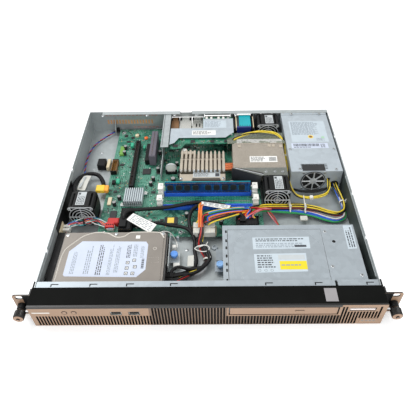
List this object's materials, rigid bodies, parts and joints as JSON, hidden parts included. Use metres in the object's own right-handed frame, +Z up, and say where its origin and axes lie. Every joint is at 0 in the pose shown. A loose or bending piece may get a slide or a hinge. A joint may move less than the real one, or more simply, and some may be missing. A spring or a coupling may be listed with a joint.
{
  "type": "rack firewall appliance",
  "caption": "One-unit rack network appliance with its top cover off, showing drives, board, coolers, fans, power supply, working tray, buttons and captive screws.",
  "frame": {"origin": "centre of the footprint on the plane that the chassis stands on", "axes": "+X to the right seen from the front, +Y from the bezel to the rear wall, +Z up"},
  "size_m": [0.4826, 0.4186, 0.043],
  "materials": {
    "galvanised": "zinc-coated sheet steel, faint cool tint",
    "bezel_paint": "satin bronze-tan front faces, black edges",
    "black_paint": "satin black",
    "tan_plastic": "satin tan",
    "black_plastic": "matt black",
    "blue_plastic": "glossy blue",
    "cast_cover": "cast, clear coated",
    "board_green": "solder mask over glass-fibre board",
    "module_blue": "blue solder mask",
    "socket_blue": "moulded blue",
    "white_plastic": "moulded off-white",
    "grey_plastic": "moulded dark grey",
    "cooler": "warm plated fins",
    "copper": "bare copper",
    "cable": "sleeved wire"
  },
  "bodies": {
    "chassis": {"chassis_tray": "galvanised", "front_crossmember": "galvanised", "hdd_caddy": "galvanised", "optical_drive_case": "galvanised", "optical_cage": "galvanised", "chipset_heatsink": "galvanised", "rear_port_stack": "galvanised", "riser_bracket": "galvanised", "system_fan_guard": "galvanised", "exhaust_fan_guard": "galvanised", "drive_fan_guard": "galvanised", "psu_case": "galvanised", "psu_fan_guard": "galvanised", "front_bezel": "bezel_paint", "rack_ear_left": "bezel_paint", "rack_ear_right": "bezel_paint", "bezel_shroud": "black_paint", "pcie_slot": "black_plastic", "backup_battery": "black_plastic", "serial_video_stack": "black_plastic", "system_fan_housing": "black_plastic", "exhaust_fan_housing": "black_plastic", "drive_fan_housing": "black_plastic", "psu_inlet": "black_plastic", "hdd_base": "cast_cover", "hdd_cover": "cast_cover", "front_io_board": "board_green", "motherboard": "board_green", "network_card": "board_green", "memory_module": "module_blue", "memory_socket_1": "socket_blue", "memory_socket_2": "socket_blue", "expansion_slot": "grey_plastic", "air_duct": "grey_plastic", "cpu_heatsink": "cooler", "remote_fin_block": "cooler", "heat_pipes": "copper", "psu_harness": "cable", "fan_power_cable": "cable", "data_cable_1": "cable", "data_cable_2": "cable", "drive_fan_cable": "cable", "front_panel_cable": "cable"},
    "system_fan_rotor": {"system_fan_rotor": "black_plastic"},
    "exhaust_fan_rotor": {"exhaust_fan_rotor": "black_plastic"},
    "drive_fan_rotor": {"drive_fan_rotor": "black_plastic"},
    "psu_fan_rotor": {"psu_fan_rotor": "black_plastic"},
    "thumbscrew_left": {"thumbscrew_left": "black_plastic"},
    "thumbscrew_right": {"thumbscrew_right": "black_plastic"},
    "power_button": {"power_button": "tan_plastic"},
    "reset_button": {"reset_button": "tan_plastic"},
    "optical_tray": {"optical_tray": "tan_plastic"},
    "optical_eject_button": {"optical_eject_button": "tan_plastic"},
    "optical_spindle": {"optical_spindle": "black_plastic"},
    "hdd_release_pin": {"hdd_release_pin": "blue_plastic"},
    "optical_release_pin": {"optical_release_pin": "blue_plastic"},
    "memory_latch_1_left": {"memory_latch_1_left": "white_plastic"},
    "memory_latch_1_right": {"memory_latch_1_right": "white_plastic"},
    "memory_latch_2_left": {"memory_latch_2_left": "white_plastic"},
    "memory_latch_2_right": {"memory_latch_2_right": "white_plastic"}
  },
  "joints": [
    {"name": "system_fan_spin", "type": "hinge", "parent": "chassis", "child": "system_fan_rotor", "pos_m": [0.1065, 0.013, 0.0212], "axis": [0, 1, 0], "continuous": true},
    {"name": "exhaust_fan_spin", "type": "hinge", "parent": "chassis", "child": "exhaust_fan_rotor", "pos_m": [0.1065, 0.181, 0.0212], "axis": [0, 1, 0], "continuous": true},
    {"name": "drive_fan_spin", "type": "hinge", "parent": "chassis", "child": "drive_fan_rotor", "pos_m": [-0.187, -0.019, 0.0212], "axis": [0, 1, 0], "continuous": true},
    {"name": "psu_fan_spin", "type": "hinge", "parent": "chassis", "child": "psu_fan_rotor", "pos_m": [0.168, 0.05225, 0.0212], "axis": [0, 1, 0], "continuous": true},
    {"name": "thumbscrew_left_turn", "type": "hinge", "parent": "chassis", "child": "thumbscrew_left", "pos_m": [-0.23255, -0.20325, 0.0222], "axis": [0, 1, 0], "continuous": true},
    {"name": "thumbscrew_right_turn", "type": "hinge", "parent": "chassis", "child": "thumbscrew_right", "pos_m": [0.23255, -0.20325, 0.0222], "axis": [0, 1, 0], "continuous": true},
    {"name": "power_button_press", "type": "slide", "parent": "chassis", "child": "power_button", "axis": [0, 1, 0], "range_m": [0, 0.001], "stiffness_N_per_m": 400},
    {"name": "reset_button_press", "type": "slide", "parent": "chassis", "child": "reset_button", "axis": [0, 1, 0], "range_m": [0, 0.001], "stiffness_N_per_m": 400},
    {"name": "optical_tray_slide", "type": "slide", "parent": "chassis", "child": "optical_tray", "axis": [0, -1, 0], "range_m": [0, 0.11]},
    {"name": "optical_eject_press", "type": "slide", "parent": "optical_tray", "child": "optical_eject_button", "axis": [0, 1, 0], "range_m": [0, 0.0006], "stiffness_N_per_m": 400},
    {"name": "optical_spindle_spin", "type": "hinge", "parent": "optical_tray", "child": "optical_spindle", "pos_m": [0.0925, -0.13925, 0], "axis": [0, 0, 1], "continuous": true},
    {"name": "hdd_release_pull", "type": "slide", "parent": "chassis", "child": "hdd_release_pin", "axis": [0, 0, 1], "range_m": [0, 0.0025], "stiffness_N_per_m": 400},
    {"name": "optical_release_pull", "type": "slide", "parent": "chassis", "child": "optical_release_pin", "axis": [0, 0, 1], "range_m": [0, 0.0025], "stiffness_N_per_m": 400},
    {"name": "memory_latch_1_left_open", "type": "hinge", "parent": "chassis", "child": "memory_latch_1_left", "pos_m": [-0.073, 0.02355, 0.0125], "axis": [0, -1, 0], "range_deg": [0, 32]},
    {"name": "memory_latch_1_right_open", "type": "hinge", "parent": "chassis", "child": "memory_latch_1_right", "pos_m": [0.073, 0.02355, 0.0125], "axis": [0, 1, 0], "range_deg": [0, 32]},
    {"name": "memory_latch_2_left_open", "type": "hinge", "parent": "chassis", "child": "memory_latch_2_left", "pos_m": [-0.073, -0.00645, 0.0125], "axis": [0, -1, 0], "range_deg": [0, 32]},
    {"name": "memory_latch_2_right_open", "type": "hinge", "parent": "chassis", "child": "memory_latch_2_right", "pos_m": [0.073, -0.00645, 0.0125], "axis": [0, 1, 0], "range_deg": [0, 32]}
  ]
}
